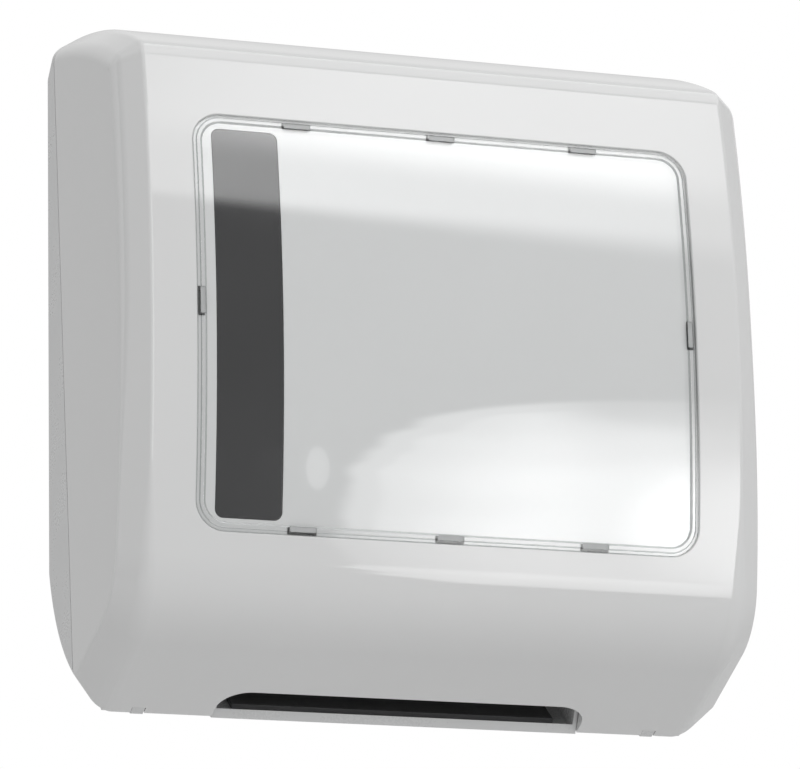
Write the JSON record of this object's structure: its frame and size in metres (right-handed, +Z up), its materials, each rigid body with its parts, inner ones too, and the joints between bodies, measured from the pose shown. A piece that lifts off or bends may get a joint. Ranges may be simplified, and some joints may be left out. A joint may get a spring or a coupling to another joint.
{
  "type": "interfold towel dispenser",
  "caption": "Wall-hung interfold towel dispenser: bulged white cover hinged at the bottom, bevelled sides, clear front panel, smoked level window, mouth below and a key lock on top.",
  "frame": {"origin": "centre of the four wall screws, on the wall plane at the back of the chassis", "axes": "+X to the right of someone facing the dispenser, +Y into the wall, +Z up"},
  "size_m": [0.32, 0.1287, 0.3423],
  "materials": {
    "cover_abs": "gloss",
    "chassis_abs": "satin",
    "grey_plastic": "satin",
    "clear_acrylic": "gloss",
    "smoked_acrylic": "gloss",
    "steel": "satin",
    "lock_plated": "polished"
  },
  "bodies": {
    "chassis": {"rear_chassis": "chassis_abs", "towel_tray": "grey_plastic", "tray_screws": "steel", "side_guide_left": "grey_plastic", "side_guide_right": "grey_plastic", "guide_screws": "steel", "lock_keeper": "steel", "keeper_screws": "steel", "hinge_pin_left": "steel", "hinge_pin_right": "steel"},
    "cover": {"front_cover": "cover_abs", "level_window": "smoked_acrylic", "clear_panel": "clear_acrylic", "lock_housing": "lock_plated", "lock_washer": "steel", "lock_nut": "lock_plated"},
    "lock": {"lock_plug": "lock_plated", "stop_washer": "steel", "lock_cam": "steel", "cam_screw": "steel"}
  },
  "joints": [
    {"name": "cover_hinge", "type": "hinge", "parent": "chassis", "child": "cover", "pos_m": [0, -0.03261, -0.15617], "axis": [1, 0, 0], "range_deg": [0, 100]},
    {"name": "lock_turn", "type": "hinge", "parent": "cover", "child": "lock", "pos_m": [0, -0.026, 0.16], "axis": [0, 0, -1], "range_deg": [0, 90]}
  ]
}
